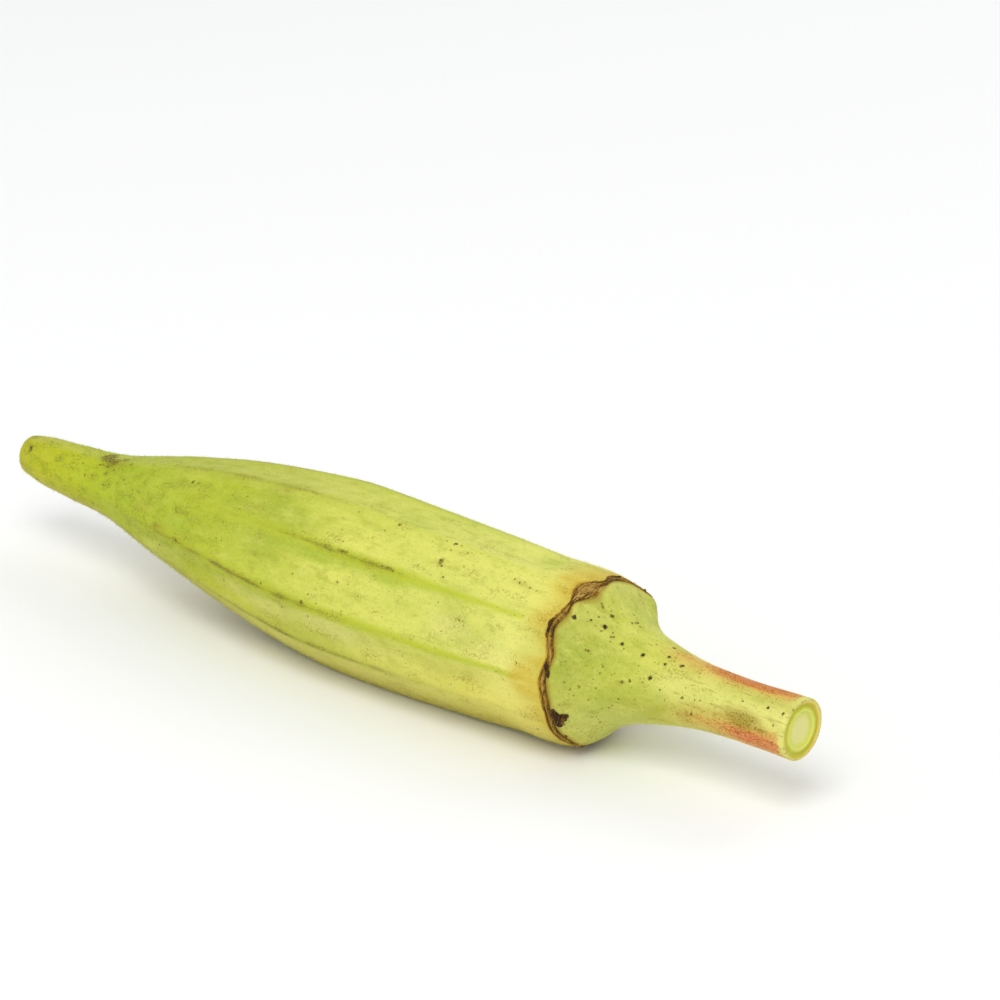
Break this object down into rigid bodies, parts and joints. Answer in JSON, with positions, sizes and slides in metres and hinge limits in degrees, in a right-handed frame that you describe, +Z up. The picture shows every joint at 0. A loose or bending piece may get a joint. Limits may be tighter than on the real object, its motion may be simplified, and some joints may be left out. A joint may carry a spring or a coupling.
{
  "type": "okra pod",
  "caption": "Fresh okra pod as picked: ridged, tapering green pod with a brown scar ring, smooth cap and short cut stem, lying on its side.",
  "frame": {"origin": "bottom centre of the bounding box, on the surface that the pod lies on", "axes": "+X along the pod, from its tip to the cut end of its stem; +Z up"},
  "size_m": [0.1348, 0.0254, 0.0236],
  "materials": {
    "pod_skin": "satin",
    "scar_fibre": "matte",
    "skin_hair": "matte"
  },
  "bodies": {
    "root": {"okra_pod": "pod_skin"}
  },
  "joints": []
}
